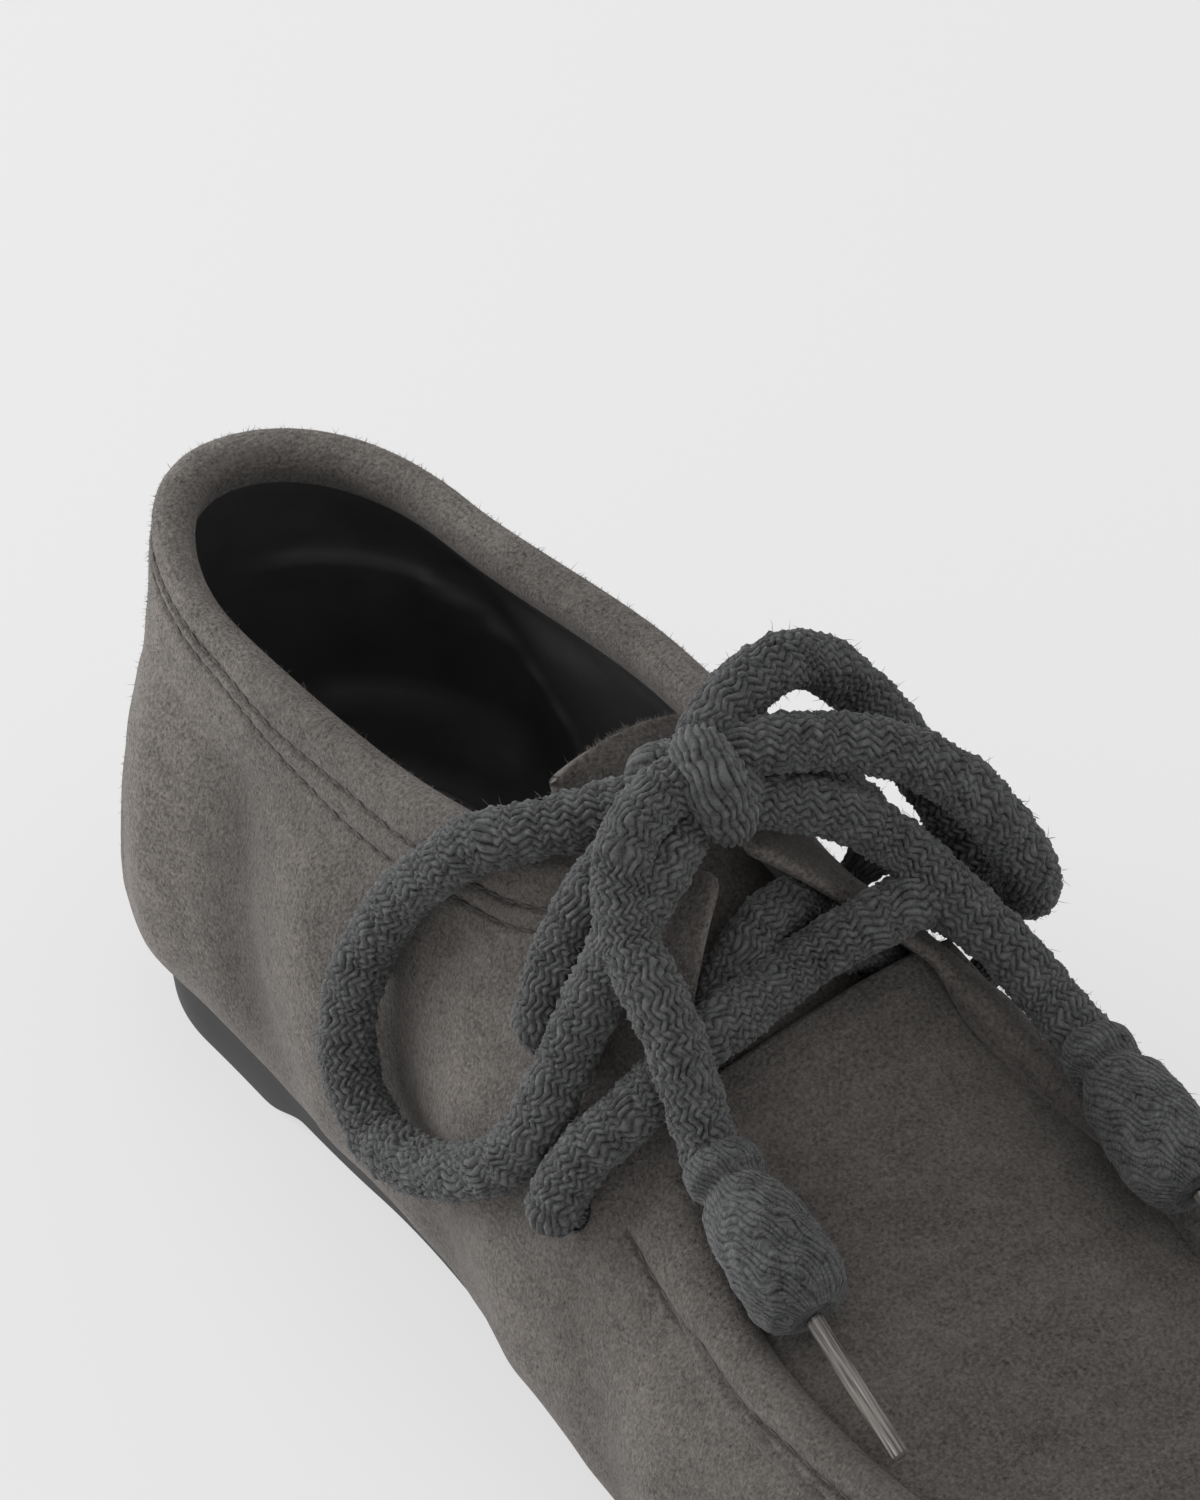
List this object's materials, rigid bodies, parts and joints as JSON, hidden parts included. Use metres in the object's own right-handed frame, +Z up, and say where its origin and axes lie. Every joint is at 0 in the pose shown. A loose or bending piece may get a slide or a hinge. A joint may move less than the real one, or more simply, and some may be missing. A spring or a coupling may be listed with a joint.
{
  "type": "lace-up moccasin shoe",
  "caption": "Low lace-up moccasin shoe for the right foot: one-piece suede wall, raised seam round a flat plug, padded collar, rubber sole, thick knitted laces in a bow.",
  "frame": {"origin": "on the floor under the middle of the shoe, halfway between heel and toe and between its two sides", "axes": "+X from heel to toe, +Y to the inner (medial) side of the foot, +Z up"},
  "size_m": [0.282, 0.1003, 0.109],
  "materials": {
    "suede": "taupe-grey suede, short nap",
    "lining": "black smooth lining leather",
    "sole_rubber": "dark grey matt moulded rubber",
    "lace_wool": "dark slate grey tubular knitted wool cord",
    "aglet_film": "clear thin plastic film, wrinkled"
  },
  "bodies": {
    "root": {"upper": "suede", "tongue": "suede", "insole": "lining", "outsole": "sole_rubber", "lace_bars": "lace_wool", "lace_knot": "lace_wool", "lace_loop_lateral": "lace_wool", "lace_loop_medial": "lace_wool", "lace_end_lateral": "lace_wool", "lace_end_medial": "lace_wool", "end_knot_lateral": "lace_wool", "end_knot_medial": "lace_wool", "aglet_lateral": "aglet_film", "aglet_medial": "aglet_film"}
  },
  "joints": []
}
